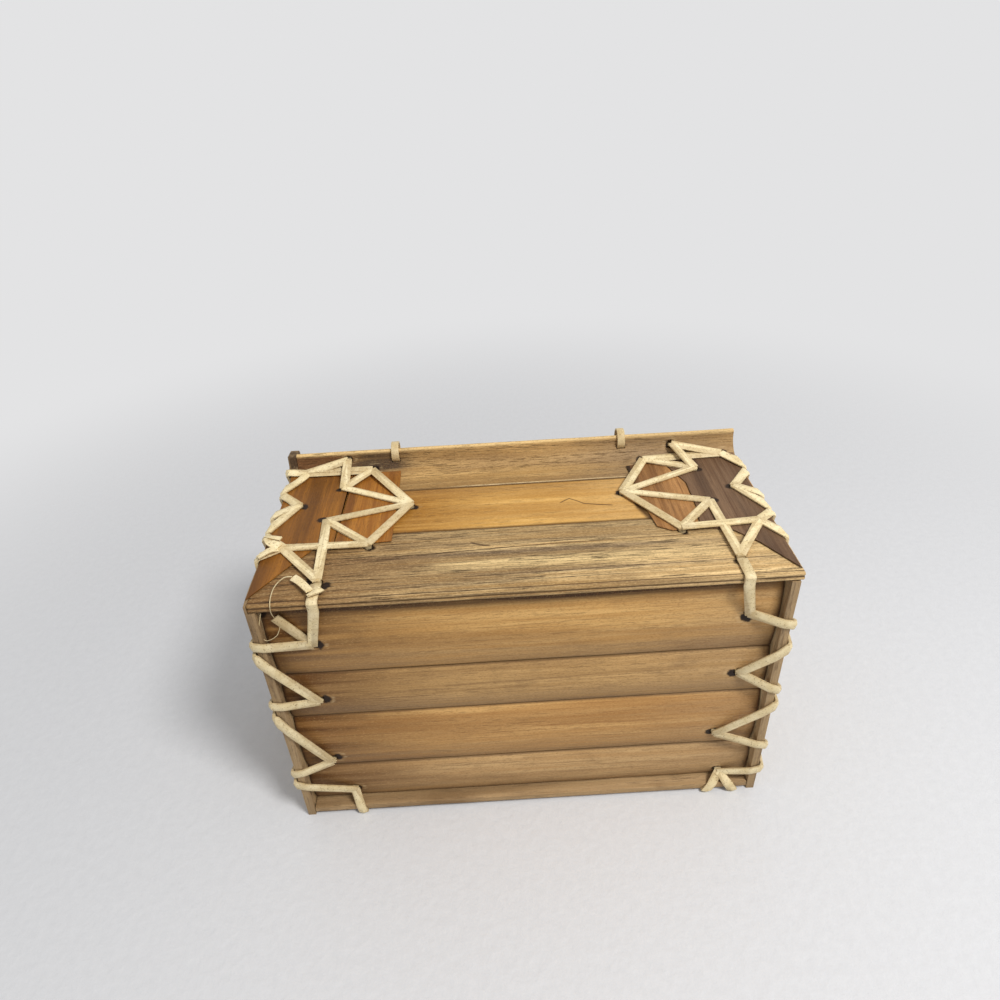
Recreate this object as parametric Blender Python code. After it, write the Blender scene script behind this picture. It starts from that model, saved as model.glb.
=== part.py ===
"""Tea chest of bamboo slats, laced together with flat rattan strips through drilled holes.

Places are given from the chest itself: x from the middle of its length, depth back from its front edge and z
up from the surface it stands on. Each finished piece is then moved so that the origin lies in the middle of
the chest's footprint. Sizes are in metres.
"""

import math

import bmesh
import bpy
from mathutils import Matrix, Vector

# Whole chest.
CHEST_LENGTH = 0.1800
PANEL_DEPTH = 0.0870
TOP_HEIGHT = 0.1110

# Clearances between pieces that touch, and the reach of a cutter past what it cuts.
FIT_GAP = 0.0003
CUT_OVERRUN = 0.0030
WELD = 0.000001

# Rattan strip: on a face, through a hole, round an edge and riding over its neighbour.
LACE_WIDTH = 0.0030
LACE_THICK = 0.0008
LEG_WIDTH = 0.0021
LEG_THICK = 0.0010
HOLE_RADIUS = 0.0019
EDGE_EASE = 0.0004
RIM_EASE = 0.0009
LAY_STEP = 0.0002
SHOULDER_SHARE = 0.62

# Top panel.
TOP_THICK = 0.0032
TOP_LEFT_INSET = 0.0015
TOP_RIGHT_OVERHANG = 0.0006
NOSE_UPPER_RADIUS = 0.0007
NOSE_LOWER_RADIUS = 0.0009
LIP_LEFT_INSET = 0.0037
LIP_RADIUS = 0.0080
LIP_THICK = 0.0022
BEAD_RADIUS = 0.0012
BEAD_LIFT = 0.0002

# Front panel.
FRONT_SET_BACK = 0.0033
FRONT_THICK = 0.0029
FRONT_CROWN = 0.0008
CROWN_POWER = 2.8

# End panels.
END_THICK = 0.0034
END_CROWN = 0.0004
TONGUE_DROP = 0.0004
EAR_BEHIND = 0.0050
EAR_HEIGHT = 0.0086
EAR_ROUND = 0.0022
NOTCH_WIDTH = 0.0062
NOTCH_HEIGHT = 0.0014

# Bottom panel.
BOTTOM_CLEAR = 0.0014
BOTTOM_THICK = 0.0028
BOTTOM_CROWN = 0.0003

# Sheath patches under the lacing.
PATCH_THICK = 0.0004

# Lid, its cleats and its rattan ring hinges.
LID_THICK = 0.0029
LID_CROWN = 0.0007
LID_SIDE_GAP = 0.0004
LID_CLEAR_BELOW = 0.0010
LID_CLEAR_AXIS = 0.0006
LID_SLATS = 5
AXIS_RISE = 0.0072
RING_INNER = 0.00335
RING_WIDTH = 0.0030
RING_LEFT_INSET = 0.0435
RING_RIGHT_INSET = 0.0452
CLEAT_WIDTH = 0.0140
CLEAT_THICK = 0.0026
CLEAT_SIDE_GAP = 0.0012
CLEAT_BELOW = 0.0020
CLEAT_ABOVE = 0.0090
CLEAT_LACE_INSET = 0.0035

# Lacing. The border is how far in from an end the fan on the top reaches.
LACE_BORDER = 0.0506
RIM_HOLE_DROP = 0.0062
CORNER_HOLE_DEPTH = 0.0090
CUFF_HOLE_DEPTH = 0.0076
BOTTOM_HOLE_INSET = 0.0085
FOOT_HOLE_HEIGHT = 0.0105

# How finely curves are cut up.
CROWN_STEPS = 8
LIP_STEPS = 8
NOSE_STEPS = 4
RING_STEPS = 28
HOLE_SIDES = 8
SMOOTH_ANGLE = 0.6

# Derived sizes and places.
HALF = CHEST_LENGTH / 2
LACE_STAND = FIT_GAP + LACE_THICK
LACE_REACH = LACE_STAND + LAY_STEP
TOP_UNDER = TOP_HEIGHT - TOP_THICK
WALL_TOP = TOP_UNDER - FIT_GAP
TOP_LEFT = TOP_LEFT_INSET - HALF
TOP_RIGHT = HALF + TOP_RIGHT_OVERHANG
LIP_REAR = PANEL_DEPTH - EAR_BEHIND
LIP_FACE = LIP_REAR - LIP_THICK
LIP_START = LIP_FACE - LIP_RADIUS
LIP_CENTRE_Z = TOP_HEIGHT + LIP_RADIUS
AXIS_DEPTH = LIP_REAR + FIT_GAP
AXIS_Z = TOP_HEIGHT + AXIS_RISE
EAR_TOP = TOP_HEIGHT + EAR_HEIGHT
END_INNER = HALF - END_THICK
INNER_LENGTH = END_INNER - FIT_GAP
FLOOR_Z = BOTTOM_CLEAR + BOTTOM_THICK
FRONT_BACK = FRONT_SET_BACK + FRONT_THICK
FAN_LIFT = FIT_GAP + PATCH_THICK + FIT_GAP
RING_OUTER = RING_INNER + LACE_THICK
LID_HALF = END_INNER - LACE_STAND - LID_SIDE_GAP
LID_TOP = AXIS_Z - LID_CLEAR_AXIS
CLEAT_OUT = LID_HALF - CLEAT_SIDE_GAP
CLEAT_TOP = TOP_HEIGHT - CLEAT_ABOVE
TO_FOOTPRINT = Vector((-TOP_RIGHT_OVERHANG / 2, (LACE_REACH - PANEL_DEPTH) / 2, 0))

# Middles of the gaps between slats: from the front back as shares of the depth, and from the surface up as
# shares of the height.
TOP_SEAM_SHARES = (0.4040, 0.7293)
END_SEAM_SHARES = (0.3328, 0.6673)
BOTTOM_SEAM_SHARES = (0.3097, 0.6202)
FRONT_SEAM_SHARES = (0.2167, 0.4743, 0.6716)

SIDES = ("left", "right")
ACROSS = Vector((1, 0, 0))
BACK = Vector((0, 1, 0))
UP = Vector((0, 0, 1))

# Lacing holes of the top: shares of the border, in from the end, and of the depth, back along the face.
TOP_HOLE_SHARES = {
    "left": {
        "edge_rear": (0.158, 0.892),
        "lip": (0.478, 0.949),
        "rear": (0.668, 0.889),
        "apex": (1.000, 0.600),
        "front": (0.735, 0.326),
        "corner": (0.447, 0.115),
        "edge_front": (0.148, 0.328),
        "edge_middle": (0.158, 0.637),
        "inner_rear": (0.468, 0.761),
        "inner_front": (0.409, 0.506),
    },
    "right": {
        "edge_rear": (0.107, 0.867),
        "lip": (0.488, 0.933),
        "rear": (0.729, 0.854),
        "apex": (0.966, 0.600),
        "front": (0.646, 0.311),
        "corner": (0.346, 0.115),
        "edge_front": (0.099, 0.328),
        "edge_middle": (0.138, 0.590),
        "inner_rear": (0.364, 0.761),
        "inner_front": (0.370, 0.490),
    },
}
FAN_STRIPS = (
    ("edge_rear", "lip"),
    ("lip", "inner_rear"),
    ("edge_rear", "rear"),
    ("rear", "inner_rear"),
    ("inner_rear", "apex"),
    ("rear", "apex"),
    ("apex", "inner_front"),
    ("apex", "front"),
    ("inner_front", "front"),
    ("front", "edge_front"),
    ("inner_front", "corner"),
    ("edge_front", "corner"),
)
CROSSING_OVER = {
    "left": (("edge_rear", "rear"), ("inner_front", "corner")),
    "right": (("lip", "inner_rear"), ("front", "edge_front")),
}
UNDER_STRIPS = (
    ("edge_rear", "edge_middle"),
    ("edge_middle", "edge_front"),
    ("rear", "apex"),
    ("apex", "front"),
    ("inner_rear", "inner_front"),
    ("corner", "front"),
)

# Strips from the top over the end edge: their hole in the end face, and shares of the depth for the holes
# and for where each strip crosses the edge.
RIM_STRIPS = (
    ("edge_rear", "rear"),
    ("edge_rear", "upper"),
    ("edge_middle", "upper"),
    ("edge_middle", "middle"),
    ("edge_middle", "lower"),
    ("edge_front", "lower"),
    ("edge_front", "front"),
)
RIM_HOLE_SHARES = {
    "left": {"rear": 0.888, "upper": 0.745, "middle": 0.540, "lower": 0.436, "front": 0.262},
    "right": {"rear": 0.795, "upper": 0.725, "middle": 0.505, "lower": 0.400, "front": 0.215},
}
RIM_CROSSING_SHARES = {
    "left": (0.901, 0.761, 0.729, 0.563, 0.461, 0.411, 0.276),
    "right": (0.805, 0.759, 0.705, 0.518, 0.425, 0.379, 0.228),
}

# Holes of the front face from the highest down, as shares of the border and of the height, the holes of the
# end faces beside them, and where the strips between the two cross the corner.
FRONT_HOLE_SHARES = {
    "left": ((0.364, 0.813), (0.308, 0.561), (0.285, 0.258), (0.407, 0.100)),
    "right": ((0.279, 0.834), (0.273, 0.577), (0.370, 0.285), (0.292, 0.074)),
}
CORNER_HOLE_SHARES = {
    "left": (0.822, 0.553, 0.212),
    "right": (0.752, 0.482, 0.180),
}
CORNER_CROSSING_SHARES = {
    "left": (0.843, 0.794, 0.583, 0.521, 0.238, 0.182),
    "right": (0.802, 0.706, 0.517, 0.446, 0.242, 0.118),
}
CUFF_SHARES = {
    "left": (0.451,),
    "right": (0.395, 0.186),
}
CUT_END_SHARES = (0.168, 0.928)

# Holes that hold the bottom to the end panels, as shares of the depth.
BOTTOM_HOLE_SHARES = (0.154, 0.463, 0.799)
FOOT_HOLE_SHARES = (0.282, 0.603, 0.891)

# Outlines of the sheath patches, as shares of the border and of the depth.
PATCH_SHARES = {
    "sheath_left_outer": (
        (0.018, 0.893),
        (0.168, 0.893),
        (0.217, 0.878),
        (0.510, 0.871),
        (0.490, 0.325),
        (0.366, 0.323),
        (0.217, 0.207),
        (0.018, 0.030),
    ),
    "sheath_left_inner": (
        (0.518, 0.878),
        (0.895, 0.878),
        (0.897, 0.345),
        (0.498, 0.326),
    ),
    "sheath_right_inner": (
        (0.875, 0.818),
        (0.858, 0.729),
        (0.858, 0.540),
        (0.822, 0.395),
        (0.808, 0.338),
        (0.711, 0.303),
        (0.530, 0.308),
        (0.488, 0.437),
        (0.484, 0.548),
        (0.480, 0.645),
        (0.520, 0.715),
        (0.593, 0.837),
    ),
    "sheath_right_outer": (
        (0.585, 0.871),
        (0.585, 0.838),
        (0.512, 0.717),
        (0.472, 0.646),
        (0.476, 0.548),
        (0.480, 0.436),
        (0.518, 0.308),
        (0.316, 0.290),
        (0.172, 0.193),
        (0.002, 0.025),
        (0.002, 0.871),
    ),
}

# Colours of the materials: red, green, blue, roughness.
COLOURS = {
    "bamboo_top": (0.56, 0.38, 0.20, 0.62),
    "bamboo_front": (0.66, 0.44, 0.22, 0.50),
    "bamboo_plain": (0.58, 0.42, 0.24, 0.60),
    "sheath_brown": (0.36, 0.20, 0.09, 0.48),
    "sheath_amber": (0.50, 0.25, 0.09, 0.46),
    "sheath_purple": (0.22, 0.13, 0.09, 0.50),
    "rattan": (0.80, 0.70, 0.50, 0.55),
}


def clear_scene():
    for obj in list(bpy.data.objects):
        bpy.data.objects.remove(obj, do_unlink=True)


def material(name):
    found = bpy.data.materials.get(name)
    if found:
        return found
    red, green, blue, roughness = COLOURS[name]
    made = bpy.data.materials.new(name)
    made.use_nodes = True
    shader = made.node_tree.nodes["Principled BSDF"]
    shader.inputs["Base Color"].default_value = (red, green, blue, 1)
    shader.inputs["Roughness"].default_value = roughness
    shader.inputs["Metallic"].default_value = 0
    made.diffuse_color = (red, green, blue, 1)
    return made


# Places.


def sign_of(side):
    return -1 if side == "left" else 1


def slat_spans(start, end, seams):
    """Where each slat of a panel starts and ends, from the panel's ends and the middles of its gaps."""
    starts = [start] + [seam + FIT_GAP / 2 for seam in seams]
    ends = [seam - FIT_GAP / 2 for seam in seams] + [end]
    return list(zip(starts, ends))


def top_spans():
    return slat_spans(0, LIP_REAR, [share * PANEL_DEPTH for share in TOP_SEAM_SHARES])


def inset_place(side, share):
    """The x that lies a share of the lacing's border in from one end."""
    return sign_of(side) * (HALF - share * LACE_BORDER)


def top_hole(side, key):
    inset_share, depth_share = TOP_HOLE_SHARES[side][key]
    return inset_place(side, inset_share), depth_share * PANEL_DEPTH


def front_holes(side):
    return [(inset_place(side, inset), height * TOP_HEIGHT) for inset, height in FRONT_HOLE_SHARES[side]]


def corner_heights(side):
    return [share * TOP_HEIGHT for share in CORNER_HOLE_SHARES[side]]


def rim_depth(side, key):
    return RIM_HOLE_SHARES[side][key] * PANEL_DEPTH


def cuff_places(side):
    return [inset_place(side, share) for share in CUFF_SHARES[side]]


def bottom_inset():
    return END_INNER - BOTTOM_HOLE_INSET


def bottom_depths():
    return [share * PANEL_DEPTH for share in BOTTOM_HOLE_SHARES]


def foot_depths():
    return [share * PANEL_DEPTH for share in FOOT_HOLE_SHARES]


def swept(run, lift, level, back):
    """Depth and z over or under the top, which lies flat and then sweeps up into the lip.

    run is measured along the upper face. level and back are how far the wanted face lies below and behind
    that one, and lift is the distance off it.
    """
    turn = max(run - LIP_START, 0) / LIP_RADIUS
    if turn == 0:
        return run, TOP_HEIGHT - level + lift
    bend = min(turn, math.pi / 2)
    rise = (turn - bend) * LIP_RADIUS
    depth = LIP_START + (LIP_RADIUS + back - lift) * math.sin(bend)
    return depth, LIP_CENTRE_Z - (LIP_RADIUS + level - lift) * math.cos(bend) + rise


def over_top(run, lift=0):
    return swept(run, lift, 0, 0)


def under_top(run, lift=0):
    return swept(run, -lift, TOP_THICK, LIP_THICK)


def top_place(x, run, lift):
    return Vector((x, *over_top(run, lift)))


def under_place(x, run, lift):
    return Vector((x, *under_top(run, lift)))


def top_normal(run):
    return (top_place(0, run, LACE_THICK) - top_place(0, run, 0)).normalized()


def lip_runs():
    """Distances along the upper face at which the sweep of the lip is cut up."""
    return [LIP_START + LIP_RADIUS * math.pi / 2 * i / LIP_STEPS for i in range(LIP_STEPS + 1)]


# Meshes.


def object_of(name, form):
    """An object holding this form, with its faces turned outwards."""
    bmesh.ops.recalc_face_normals(form, faces=form.faces)
    mesh = bpy.data.meshes.new(name)
    form.to_mesh(mesh)
    form.free()
    obj = bpy.data.objects.new(name, mesh)
    bpy.context.scene.collection.objects.link(obj)
    return obj


def bisect(form, axis, station):
    """Cuts the form's faces where they cross a plane, and keeps both halves."""
    parts = [*form.verts, *form.edges, *form.faces]
    bmesh.ops.bisect_plane(form, geom=parts, plane_co=axis * station, plane_no=axis)


def prism(outline, place, low, high):
    """An outline drawn in two measures and carried along the third. place(a, b, c) gives the point."""
    form = bmesh.new()
    face = form.faces.new([form.verts.new(place(a, b, low)) for a, b in outline])
    grown = bmesh.ops.extrude_face_region(form, geom=[face])
    moved = [item for item in grown["geom"] if isinstance(item, bmesh.types.BMVert)]
    bmesh.ops.translate(form, verts=moved, vec=place(0, 0, high) - place(0, 0, low))
    return object_of("prism", form)


def along_length(depth, z, x):
    return Vector((x, depth, z))


def along_height(x, depth, z):
    return Vector((x, depth, z))


def block(low, high):
    """A box between two corners."""
    outline = [(low[1], low[2]), (high[1], low[2]), (high[1], high[2]), (low[1], high[2])]
    return prism(outline, along_length, low[0], high[0])


def drill(start, end):
    """A round cutter through the two points, running on past both."""
    run = end - start
    turn = run.to_track_quat("Z", "Y").to_matrix().to_4x4()
    form = bmesh.new()
    bmesh.ops.create_cone(
        form,
        cap_ends=True,
        segments=HOLE_SIDES,
        radius1=HOLE_RADIUS,
        radius2=HOLE_RADIUS,
        depth=run.length + 2 * CUT_OVERRUN,
        matrix=Matrix.Translation((start + end) / 2) @ turn,
    )
    return object_of("drill", form)


def band(x, inner, outer, width):
    """A flat ring round the lid's axis."""
    form = bmesh.new()
    ends = (x - width / 2, x + width / 2)
    corners = [(ends[0], inner), (ends[0], outer), (ends[1], outer), (ends[1], inner)]
    loop = [form.verts.new((end, AXIS_DEPTH, AXIS_Z + radius)) for end, radius in corners]
    sides = [form.edges.new((loop[i - 1], loop[i])) for i in range(len(loop))]
    bmesh.ops.spin(
        form,
        geom=loop + sides,
        cent=(x, AXIS_DEPTH, AXIS_Z),
        axis=ACROSS,
        angle=math.tau,
        steps=RING_STEPS,
        use_merge=True,
    )
    bmesh.ops.remove_doubles(form, verts=form.verts, dist=WELD)
    return object_of("band", form)


def weld(form):
    """Closes the seams of a joined form and drops faces that hold nothing: back to back, or hanging loose."""
    bmesh.ops.triangulate(form, faces=form.faces)
    bmesh.ops.remove_doubles(form, verts=form.verts, dist=WELD)
    bmesh.ops.dissolve_degenerate(form, edges=form.edges, dist=WELD)
    bmesh.ops.triangulate(form, faces=form.faces)
    same = {}
    for face in form.faces:
        same.setdefault(frozenset(face.verts), []).append(face)
    empty = [face for faces in same.values() if len(faces) > 1 for face in faces]
    bmesh.ops.delete(form, geom=empty, context="FACES")
    loose = [face for face in form.faces if any(len(edge.link_faces) == 1 for edge in face.edges)]
    bmesh.ops.delete(form, geom=loose, context="FACES")


def combine(target, others, operation):
    """The target with the others joined to it or cut from it. The others are used up."""
    group = bpy.data.collections.new("operands")
    for other in others:
        group.objects.link(other)
    step = target.modifiers.new(operation, "BOOLEAN")
    step.operation = operation
    step.solver = "EXACT"
    step.operand_type = "COLLECTION"
    step.collection = group
    bpy.context.view_layer.update()
    form = bmesh.new()
    form.from_object(target, bpy.context.evaluated_depsgraph_get())
    target.modifiers.clear()
    weld(form)
    form.to_mesh(target.data)
    form.free()
    for other in others:
        bpy.data.objects.remove(other, do_unlink=True)
    bpy.data.collections.remove(group)
    return target


def fuse(pieces):
    return combine(pieces[0], pieces[1:], "UNION")


def cut(target, cutters):
    return combine(target, cutters, "DIFFERENCE")


def finish(obj, name, slot, smooth=True, pivot=None):
    """Names the piece, moves it into the chest's own frame and gives it its material."""
    obj.name = name
    obj.data.name = name
    shift = TO_FOOTPRINT.copy()
    if pivot:
        shift -= pivot.location
        obj.parent = pivot
    obj.data.transform(Matrix.Translation(shift))
    obj.data.materials.clear()
    obj.data.materials.append(material(slot))
    if smooth:
        obj.data.shade_smooth()
        obj.data.set_sharp_from_angle(angle=SMOOTH_ANGLE)


# Rattan strip.


def width_steps(path):
    """For each point of a path, the step to one side that keeps a strip's width through its turns."""
    runs = [(after - before).normalized() for before, after in zip(path, path[1:])]
    steps = []
    for before, after in zip([runs[0]] + runs, runs + [runs[-1]]):
        middle = (before + after).normalized()
        steps.append(middle.orthogonal() * (LACE_WIDTH / 2 / middle.dot(after)))
    return steps


def ribbon(path, place, lay=0, folds=(), cross_folds=()):
    """A flat strip with a crowned face, drawn on the unfolded face and bent on to the real one by place."""
    form = bmesh.new()
    rings = []
    for point, step in zip(path, width_steps(path)):
        left = point - step
        right = point + step
        shoulder = lay + LACE_THICK * SHOULDER_SHARE
        section = ((left, lay), (right, lay), (right, shoulder), (point, lay + LACE_THICK), (left, shoulder))
        rings.append([form.verts.new((*flat, height)) for flat, height in section])
    for near, far in zip(rings, rings[1:]):
        for i in range(len(near)):
            form.faces.new((near[i - 1], near[i], far[i], far[i - 1]))
    form.faces.new(rings[0])
    form.faces.new(rings[-1])
    for station in folds:
        bisect(form, ACROSS, station)
    for station in cross_folds:
        bisect(form, BACK, station)
    for vert in form.verts:
        vert.co = place(*vert.co)
    return object_of("ribbon", form)


def taut(start, end, outward, lay=0):
    """A straight strip between two points of its underside."""
    run = (end - start).normalized()
    aside = run.cross(outward).normalized()
    lift = aside.cross(run)
    path = [Vector((0, 0)), Vector(((end - start).length, 0))]

    def place(along, across, height):
        return start + run * along + aside * across + lift * height

    return ribbon(path, place, lay)


def leg(start, end, flat):
    """The stretch of a strip that passes through a hole, its width lying along flat."""
    run = end - start
    length = run.normalized()
    width = (flat - length * flat.dot(length)).normalized()
    basis = Matrix((width * LEG_WIDTH, length.cross(width) * LEG_THICK, run)).transposed().to_4x4()
    form = bmesh.new()
    bmesh.ops.create_cube(form, size=1, matrix=Matrix.Translation((start + end) / 2) @ basis)
    return object_of("leg", form)


def eased(corners, ease):
    """A bent line with each corner cut by a short slope."""
    line = [corners[0]]
    for before, corner, after in zip(corners, corners[1:], corners[2:]):
        line.append(corner + (before - corner).normalized() * ease)
        line.append(corner + (after - corner).normalized() * ease)
    return line + [corners[-1]]


def stations_of(line):
    """The distance along a bent line at each of its points."""
    stations = [0]
    for before, after in zip(line, line[1:]):
        stations.append(stations[-1] + (after - before).length)
    return stations


def lifted(line, distance, lift):
    """The point at a distance along a bent line, lifted off it and mitred where it bends."""
    normals = [(after - before).orthogonal().normalized() for before, after in zip(line, line[1:])]
    for i, normal in enumerate(normals):
        run = line[i + 1] - line[i]
        if distance < run.length - WELD or i == len(normals) - 1:
            if i and abs(distance) < WELD:
                normal = (normals[i - 1] + normal) / (1 + normals[i - 1].dot(normal))
            return line[i] + run.normalized() * distance + normal * lift
        distance -= run.length


def wrap(corners, courses, to_chest, lay, ease=EDGE_EASE, cross_folds=()):
    """A strip laid round a bent line. courses holds its place along the fold at each corner, or None."""
    line = eased([Vector(corner) for corner in corners], ease)
    stations = stations_of(line)
    turns = [(near + far) / 2 for near, far in zip(stations[1:-1:2], stations[2:-1:2])]
    distances = [stations[0], *turns, stations[-1]]
    path = [Vector((a, b)) for a, b in zip(distances, courses) if b is not None]

    def place(along, course, height):
        return to_chest(lifted(line, along, height), course)

    return ribbon(path, place, lay, stations[1:-1], cross_folds)


# Slats.


def crowned(start, end, base, thick, crown, outward):
    """Outline of a slat with a flat back and a crowned face, as (along, across) pairs."""
    face = []
    for i in range(CROWN_STEPS + 1):
        share = i / CROWN_STEPS
        height = thick - crown * abs(2 * share - 1) ** CROWN_POWER
        face.append((start + (end - start) * share, base + outward * height))
    return [(start, base)] + face + [(end, base)]


def rounded(centre_depth, centre_z, radius, first, last):
    """Points of an arc seen square to the chest's length, between two angles in degrees."""
    points = []
    for i in range(NOSE_STEPS + 1):
        turn = math.radians(first + (last - first) * i / NOSE_STEPS)
        points.append((centre_depth + radius * math.cos(turn), centre_z + radius * math.sin(turn)))
    return points


def touches(place, start, end):
    """Whether a hole here reaches into a slat between start and end."""
    return start - HOLE_RADIUS < place < end + HOLE_RADIUS


def top_hole_cutters(start, end):
    """Cutters for the lacing holes. The corner hole is a pair, side by side, for two strips."""
    made = []
    for side in SIDES:
        for key in TOP_HOLE_SHARES[side]:
            x, run = top_hole(side, key)
            runs = [run, run - LEG_WIDTH] if key == "corner" else [run]
            for place in runs:
                if touches(place, start, end):
                    made.append(drill(top_place(x, place, 0), under_place(x, place, 0)))
    return made


def top_front_slat():
    """Front slat of the top, with two beads worked along its front edge."""
    upper = rounded(NOSE_UPPER_RADIUS, TOP_HEIGHT - NOSE_UPPER_RADIUS, NOSE_UPPER_RADIUS, 90, 245)
    lower = rounded(NOSE_LOWER_RADIUS, TOP_UNDER + NOSE_LOWER_RADIUS, NOSE_LOWER_RADIUS, 115, 270)
    start, end = top_spans()[0]
    outline = upper + lower + [(end, TOP_UNDER), (end, TOP_HEIGHT)]
    slat = prism(outline, along_length, TOP_LEFT, TOP_RIGHT)
    cut(slat, top_hole_cutters(start, end))
    finish(slat, "top_front_slat", "bamboo_top")


def top_middle_slat():
    start, end = top_spans()[1]
    slat = block((TOP_LEFT, start, TOP_UNDER), (TOP_RIGHT, end, TOP_HEIGHT))
    cut(slat, top_hole_cutters(start, end))
    finish(slat, "top_middle_slat", "bamboo_top", smooth=False)


def ring_places():
    return {"left": RING_LEFT_INSET - HALF, "right": HALF - RING_RIGHT_INSET}


def ring_cutters():
    """Curved slots for the hinge rings, clear of them all round."""
    width = RING_WIDTH + 2 * FIT_GAP
    return [band(x, RING_INNER - FIT_GAP, RING_OUTER + FIT_GAP, width) for x in ring_places().values()]


def top_rear_slat():
    """Rear slat of the top: flat, then swept up into a lip with a bead along its rim."""
    start = top_spans()[2][0]
    face = [over_top(run) for run in lip_runs()[:-1]]
    bead = rounded(LIP_REAR - BEAD_RADIUS, LIP_CENTRE_Z + BEAD_LIFT, BEAD_RADIUS, 200, 0)
    back = [under_top(run) for run in reversed(lip_runs())]
    outline = [(start, TOP_UNDER), (start, TOP_HEIGHT)] + face + bead + back
    slat = prism(outline, along_length, LIP_LEFT_INSET - HALF, TOP_RIGHT)
    cut(slat, top_hole_cutters(start, lip_runs()[-1]) + ring_cutters())
    finish(slat, "top_rear_slat", "bamboo_top")


def front_slats():
    """Four slats of different heights, crowned outwards, between the bottom and the top."""
    spans = slat_spans(FLOOR_Z + FIT_GAP, WALL_TOP, [share * TOP_HEIGHT for share in FRONT_SEAM_SHARES])
    for name, (start, end) in zip(("lowest", "lower", "upper", "highest"), spans):
        face = crowned(start, end, FRONT_BACK, FRONT_THICK, FRONT_CROWN, -1)
        slat = prism([(depth, z) for z, depth in face], along_length, -INNER_LENGTH, INNER_LENGTH)
        cutters = []
        for x, z in front_holes("left") + front_holes("right"):
            if touches(z, start, end):
                cutters.append(drill(Vector((x, FRONT_SET_BACK, z)), Vector((x, FRONT_BACK, z))))
        cut(slat, cutters)
        finish(slat, f"front_slat_{name}", "bamboo_front")


def bottom_slats():
    """Three slats that run the length of the chest between the end panels."""
    spans = slat_spans(0, LIP_REAR, [share * PANEL_DEPTH for share in BOTTOM_SEAM_SHARES])
    places = [(sign_of(side) * bottom_inset(), depth) for side in SIDES for depth in bottom_depths()]
    places += [(x, CUFF_HOLE_DEPTH) for side in SIDES for x in cuff_places(side)]
    for name, (start, end) in zip(("front", "middle", "rear"), spans):
        outline = crowned(start, end, FLOOR_Z, BOTTOM_THICK, BOTTOM_CROWN, -1)
        slat = prism(outline, along_length, -INNER_LENGTH, INNER_LENGTH)
        cutters = []
        for x, y in places:
            if touches(y, start, end):
                cutters.append(drill(Vector((x, y, BOTTOM_CLEAR)), Vector((x, y, FLOOR_Z))))
        cut(slat, cutters)
        finish(slat, f"bottom_{name}_slat", "bamboo_plain")


# End panels.


def across_end(side):
    """The span of x that a cutter needs to pass right through an end panel."""
    sign = sign_of(side)
    return sorted((sign * (END_INNER - CUT_OVERRUN), sign * (HALF + CUT_OVERRUN)))


def end_hole_cutters(side, start, end):
    sign = sign_of(side)
    places = [(CORNER_HOLE_DEPTH, z) for z in corner_heights(side)]
    places += [over_top(rim_depth(side, key), -RIM_HOLE_DROP) for key in RIM_HOLE_SHARES[side]]
    places += [(depth, FOOT_HOLE_HEIGHT) for depth in foot_depths()]
    return [
        drill(Vector((sign * END_INNER, depth, z)), Vector((sign * HALF, depth, z)))
        for depth, z in places
        if touches(depth, start, end)
    ]


def notch_cutters(side, start, end):
    """Shallow notches in the foot, where the strips of the bottom pass under it."""
    made = []
    near, far = across_end(side)
    for depth, foot in zip(bottom_depths(), foot_depths()):
        middle = foot_crossing(depth, foot)
        if start - NOTCH_WIDTH < middle < end + NOTCH_WIDTH:
            low = (near, middle - NOTCH_WIDTH / 2, -CUT_OVERRUN)
            made.append(block(low, (far, middle + NOTCH_WIDTH / 2, NOTCH_HEIGHT)))
    return made


def rabbet_cutter(start, end):
    """The step that takes the ends of the flat slats of the top, behind the left panel's tongue."""
    low = (TOP_LEFT - FIT_GAP, start - CUT_OVERRUN, WALL_TOP)
    last = min(end + CUT_OVERRUN, top_spans()[2][0])
    return block(low, (CUT_OVERRUN - END_INNER, last, TOP_HEIGHT + CUT_OVERRUN))


def ear_cutter(side, start):
    """What is cleared above the rear slat of an end panel, leaving an ear behind the lip."""
    if side == "left":
        top = [(start, TOP_HEIGHT - TONGUE_DROP)] + [over_top(run, -TONGUE_DROP) for run in lip_runs()[:-2]]
        top.append((LIP_FACE + FIT_GAP, EAR_TOP))
    else:
        top = [(start, WALL_TOP)] + [under_top(run, FIT_GAP) for run in lip_runs()]
        top.append((AXIS_DEPTH, EAR_TOP))
    first = (start - CUT_OVERRUN, top[0][1])
    ear = rounded(PANEL_DEPTH - EAR_ROUND, EAR_TOP - EAR_ROUND, EAR_ROUND, 90, 0)
    rear = PANEL_DEPTH + CUT_OVERRUN
    above = EAR_TOP + 2 * CUT_OVERRUN
    sky = [(rear, ear[-1][1]), (rear, above), (first[0], above)]
    return prism([first] + top + ear + sky, along_length, *across_end(side))


def end_panel(side):
    """Three upright slats. On the left a thin tongue of the panel stands beside the end of the top."""
    sign = sign_of(side)
    spans = slat_spans(0, PANEL_DEPTH, [share * PANEL_DEPTH for share in END_SEAM_SHARES])
    flat_height = TOP_HEIGHT - TONGUE_DROP if side == "left" else WALL_TOP
    for name, (start, end) in zip(("front", "middle", "rear"), spans):
        face = crowned(start, end, sign * END_INNER, END_THICK, END_CROWN, sign)
        height = EAR_TOP + CUT_OVERRUN if name == "rear" else flat_height
        slat = prism([(x, depth) for depth, x in face], along_height, 0, height)
        cutters = end_hole_cutters(side, start, end) + notch_cutters(side, start, end)
        if name == "rear":
            cutters.append(ear_cutter(side, start))
        if side == "left":
            cutters.append(rabbet_cutter(start, end))
        cut(slat, cutters)
        finish(slat, f"end_{side}_{name}_slat", "bamboo_plain")


# Sheath patches.


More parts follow.
